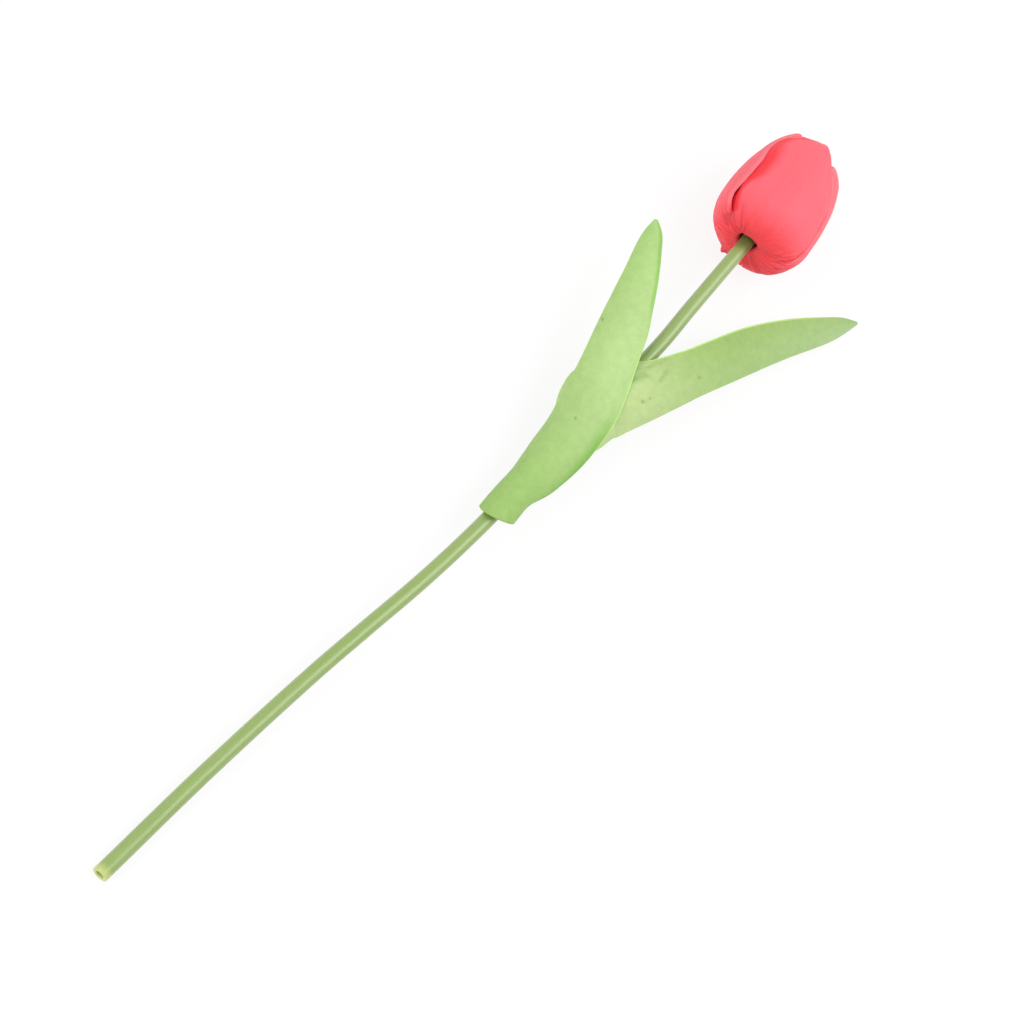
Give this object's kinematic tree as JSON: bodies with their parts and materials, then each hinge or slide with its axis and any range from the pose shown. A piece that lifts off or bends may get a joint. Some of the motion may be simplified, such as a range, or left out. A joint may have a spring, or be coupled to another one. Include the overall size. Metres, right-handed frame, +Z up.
{
  "type": "artificial tulip stem",
  "caption": "Artificial tulip with a closed bud of moulded foam petals and a clasping pair of foam leaves on a wired plastic stem.",
  "frame": {"origin": "bottom centre of the whole flower's box, as it lies on a table with the front of the bud up", "axes": "+X along the stem from its cut end to the bud, +Y towards the side of the outer leaf, +Z up from the table"},
  "size_m": [0.331, 0.0706, 0.0363],
  "materials": {
    "stem": "extruded soft polyethylene, satin",
    "wire": "drawn iron wire",
    "core": "cut foam, dyed right through",
    "outer_petal": "moulded foam with a soft coated skin, matte",
    "inner_petal": "moulded foam with a soft coated skin, matte",
    "outer_leaf": "moulded foam with a soft coated skin, matte",
    "inner_leaf": "moulded foam with a soft coated skin, matte"
  },
  "bodies": {
    "flower": {"stem_tube": "stem", "stem_wire": "wire", "bud_core": "core", "outer_petal_front": "outer_petal", "outer_petal_right": "outer_petal", "outer_petal_left": "outer_petal", "inner_petal_right": "inner_petal", "inner_petal_back": "inner_petal", "inner_petal_left": "inner_petal"},
    "inner_leaf": {"inner_leaf": "inner_leaf"},
    "outer_leaf": {"outer_leaf": "outer_leaf"}
  },
  "joints": [
    {"name": "leaves_turn", "type": "hinge", "parent": "flower", "child": "inner_leaf", "pos_m": [-0.01433, 0.00387, 0.01112], "axis": [0.9981, 0.0222, 0.058], "continuous": true},
    {"name": "outer_leaf_slide", "type": "slide", "parent": "inner_leaf", "child": "outer_leaf", "axis": [0.9981, 0.0222, 0.058], "range_m": [-0.025, 0]}
  ]
}
